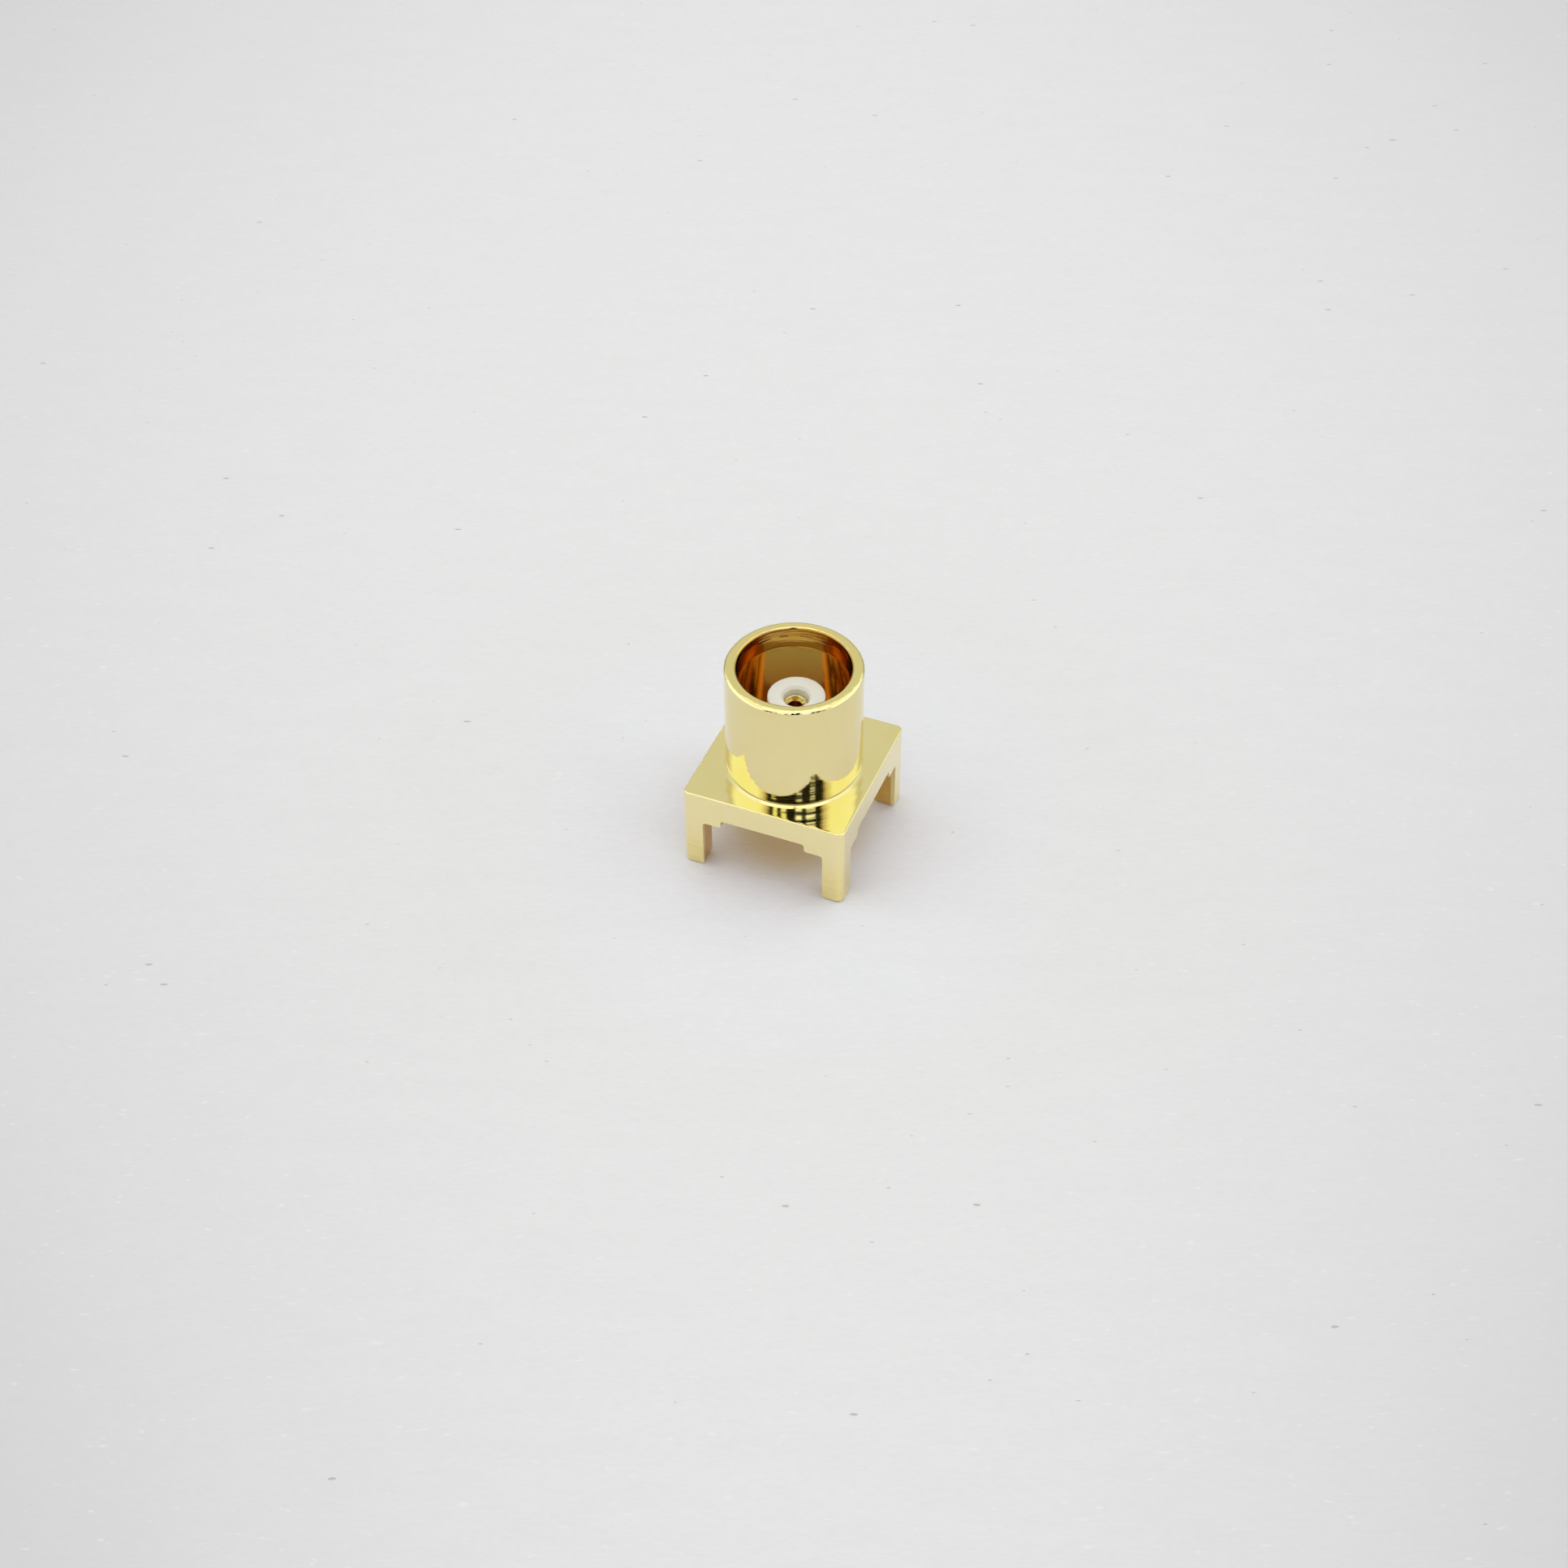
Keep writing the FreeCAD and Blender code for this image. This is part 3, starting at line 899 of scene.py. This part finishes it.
def contact_gold():
    """Plated contact: a little duller than the barrel, with fine tool rings."""
    material, nodes, place = new_material("gold_contact")
    fine = nodes.turned_noise(place, scale=34.0, roughness=0.6)
    shader(
        nodes,
        Base_Color=plated(nodes, place),
        Metallic=1.0,
        Roughness=nodes.span(fine, *NOISE_RANGE, 0.08, 0.14),
        Normal=nodes.bump(fine, 0.0005),
    )
    return material


def socket_gold():
    """Inside of the contact's socket: dull red-gold, painted dark as painted shade in the deep
    hole.
    """
    material, nodes, place = new_material("gold_socket_shaded")
    marks = nodes.turned_noise(place, scale=30.0, roughness=0.6)
    shader(
        nodes,
        Base_Color=nodes.mix(nodes.span(marks, *NOISE_RANGE), SOCKET_SHADE_DARK, SOCKET_SHADE_RED),
        Metallic=1.0,
        Roughness=nodes.span(marks, *NOISE_RANGE, 0.22, 0.34),
        Normal=nodes.bump(marks, 0.001),
    )
    return material


def white_ptfe():
    """Turned fluoropolymer: soft white, glows through, with fine tool rings."""
    material, nodes, place = new_material("ptfe_white")
    rings = nodes.turned_noise(place, scale=22.0, detail=3.0, roughness=0.6)
    cloud = nodes.noise(place, scale=2.2, detail=3.0)
    shader(
        nodes,
        Base_Color=nodes.mix(nodes.span(cloud, *NOISE_RANGE), PTFE, PTFE_CLOUD),
        Roughness=nodes.span(rings, *NOISE_RANGE, 0.42, 0.55),
        Subsurface_Weight=0.35,
        Subsurface_Radius=(1.0, 0.95, 0.85),
        Subsurface_Scale=0.25 * MM,
        Normal=nodes.bump(rings, 0.002),
    )
    return material


# Stage

def edge_shade(nodes, x, y):
    """How far the sheet has darkened towards the edges of what the camera sees."""
    half_width = nodes.math("MULTIPLY_ADD", y, VIEW_SPREAD, VIEW_HALF_WIDTH)
    across = nodes.math("POWER", nodes.math("DIVIDE", x, half_width), 2.0)
    deep = nodes.math("DIVIDE", nodes.math("SUBTRACT", y, VIEW_MIDDLE), VIEW_DEPTH)
    deep = nodes.math("POWER", deep, 2.0)
    shade = nodes.math("MULTIPLY_ADD", deep, EDGE_CORNER, EDGE_ACROSS)
    shade = nodes.math("MULTIPLY", across, shade)
    return nodes.math("MINIMUM", nodes.math("MULTIPLY_ADD", deep, EDGE_DEEP, shade), 1.0)


def pale_sheet():
    """Matt sheet with a faint grain, pale flecks and a few dark specks, painted lighter near the
    object and with a painted warm shadow under it.
    """
    material, nodes, place = new_material("floor_sheet")
    turned = nodes.add("ShaderNodeVectorRotate", rotation_type="Z_AXIS")
    nodes.join(place, turned.inputs["Vector"])
    turned.inputs["Angle"].default_value = -math.radians(CAMERA_TURN)
    facing = turned.outputs[0]
    parts = nodes.split(facing)
    away = nodes.vector("LENGTH", nodes.vector("SUBTRACT", place, (0.0, 0.0, LEG_TIP)))
    tone = nodes.mix(edge_shade(nodes, parts["X"], parts["Y"]), FLOOR_TONE, FLOOR_EDGE)
    # Painted light: lighter, cooler sheet near the object.
    tone = nodes.mix(nodes.span(away, *NEAR_PAINTED_LIGHT), tone, FLOOR_NEAR_LIT)
    # Painted shadow: warm brown sheet under the object.
    tone = nodes.mix(nodes.span(away, *UNDER_SHADE), tone, FLOOR_UNDER_SHADOW)
    grain = nodes.vector("MULTIPLY", facing, PAPER_GRAIN)
    pulp = nodes.noise(grain, scale=1.1, detail=3.0, roughness=0.6)
    fibre = nodes.noise(grain, scale=9.0, detail=3.0, roughness=0.6)
    fleck = nodes.noise(nodes.vector("ADD", grain, FLECK_SHIFT), scale=6.5, detail=1.0)
    speck = nodes.noise(nodes.vector("ADD", grain, SPECK_SHIFT), scale=5.0, detail=0.0)
    tone = nodes.mix(nodes.span(pulp, *NOISE_RANGE, 0.0, 0.05), tone, FLOOR_SHADE)
    tone = nodes.mix(nodes.span(fibre, *NOISE_RANGE, 0.0, 0.08), tone, FLOOR_SHADE)
    tone = nodes.mix(nodes.span(fleck, 0.70, 0.78, 0.0, 0.35), tone, FLOOR_FLECK)
    tone = nodes.mix(nodes.span(speck, 0.872, 0.89, 0.0, 0.5), tone, FLOOR_SPECK)
    shader(
        nodes,
        Base_Color=tone,
        Roughness=0.75,
        Specular_IOR_Level=0.2,
        Normal=nodes.bump(fibre, 0.010, nodes.bump(pulp, 0.03)),
    )
    return material


def build_floor():
    """Flat sheet under the leg tips."""
    bm = bmesh.new()
    bmesh.ops.create_grid(bm, x_segments=1, y_segments=1, size=FLOOR_REACH)
    bmesh.ops.translate(bm, vec=(0, 0, LEG_TIP), verts=bm.verts)
    bmesh.ops.scale(bm, vec=(MM, MM, MM), verts=bm.verts)
    floor = new_object(bm, "floor")
    floor.data.materials.append(pale_sheet())


def light_world():
    """Soft studio surround: pale at the sides, brighter overhead, dark where the camera stands."""
    world = bpy.data.worlds.new("studio")
    bpy.context.scene.world = world
    world.use_nodes = True
    nodes = Nodes(world.node_tree)
    direction = nodes.add("ShaderNodeTexCoord").outputs["Generated"]
    turn = math.radians(CAMERA_TURN)
    ahead = nodes.vector("DOT_PRODUCT", direction, (math.sin(turn), -math.cos(turn), 0.0))
    right = nodes.vector("DOT_PRODUCT", direction, (math.cos(turn), math.sin(turn), 0.0))
    rise = nodes.vector("DOT_PRODUCT", direction, (0.0, 0.0, 1.0))
    azimuth = nodes.math("MULTIPLY", nodes.math("ARCTAN2", right, ahead), 180 / math.pi)
    height = nodes.math("MULTIPLY", nodes.math("ARCSINE", rise), 180 / math.pi)
    aside = nodes.math("ABSOLUTE", azimuth)

    def patch(turns, turn_soft, heights, height_soft):
        sideways = nodes.band(azimuth, *turns, turn_soft)
        return nodes.math("MULTIPLY", sideways, nodes.band(height, *heights, height_soft))

    light = nodes.mix(nodes.span(aside, *SIDE_ENDS, 1.0, 0.0), BACK_LIGHT, SIDE_LIGHT)
    light = nodes.mix(nodes.span(height, *RING_RISES), LOW_LIGHT, light)
    light = nodes.mix(nodes.span(height, *TOP_STARTS), light, TOP_LIGHT)
    light = nodes.mix(nodes.span(height, *LAMP_STARTS), light, LAMP_LIGHT)
    front = nodes.span(aside, *FRONT_ENDS, 1.0, 0.0)
    front = nodes.math("MULTIPLY", front, nodes.band(height, *FRONT_HEIGHTS, 4.0))
    light = nodes.mix(front, light, FRONT_LIGHT)
    fringe = nodes.math("MULTIPLY", patch(FRINGE_TURNS, 8.0, BLOCK_HEIGHTS, 2.0), FRINGE_SHARE)
    light = nodes.mix(fringe, light, FRINGE)
    block = patch(BLOCK_TURNS, 5.0, BLOCK_HEIGHTS, 2.0)
    spire = patch(SPIRE_TURNS, 2.0, SPIRE_HEIGHTS, 4.0)
    light = nodes.mix(nodes.math("MAXIMUM", block, spire), light, DARK)
    for turns, heights, bar in BARS:
        light = nodes.mix(patch(turns, 1.2, heights, 0.6), light, bar)

    shown = nodes.add("ShaderNodeLightPath").outputs["Is Camera Ray"]
    background = nodes.add("ShaderNodeBackground")
    nodes.feed(background.inputs["Color"], nodes.mix(shown, light, BACKDROP))
    output = nodes.add("ShaderNodeOutputWorld")
    nodes.join(background.outputs[0], output.inputs[0])


def camera_axes():
    """Right, up and back of the camera in the object's frame."""
    turn, rise, roll = (math.radians(a) for a in (CAMERA_TURN, CAMERA_RISE, CAMERA_ROLL))
    back = Vector((
        math.sin(turn) * math.cos(rise),
        -math.cos(turn) * math.cos(rise),
        math.sin(rise),
    ))
    right = Vector((math.cos(turn), math.sin(turn), 0.0))
    up = back.cross(right)
    return (
        right * math.cos(roll) + up * math.sin(roll),
        up * math.cos(roll) - right * math.sin(roll),
        back,
    )


def place_camera():
    """Camera that looks at the middle of the flange top from the photo's side."""
    right, up, back = camera_axes()
    data = bpy.data.cameras.new("camera")
    data.sensor_width = 36.0
    data.lens = CAMERA_LENS
    data.clip_start = 1.0 * MM
    data.clip_end = 5.0
    camera = bpy.data.objects.new("camera", data)
    bpy.context.scene.collection.objects.link(camera)
    target = Vector((0.0, 0.0, FLANGE_TOP))
    place = target - right * CAMERA_OFFSET[0] - up * CAMERA_OFFSET[1] + back * CAMERA_DISTANCE
    facing = Matrix((right, up, back)).transposed().to_4x4()
    camera.matrix_world = Matrix.Translation(place * MM) @ facing
    bpy.context.scene.camera = camera


build_body([turned_gold(), milled_gold(), bored_gold(), under_gold()])
build_insulator(white_ptfe())
build_contact([contact_gold(), socket_gold()])
build_floor()
light_world()
place_camera()
bpy.context.scene.view_settings.view_transform = "Standard"
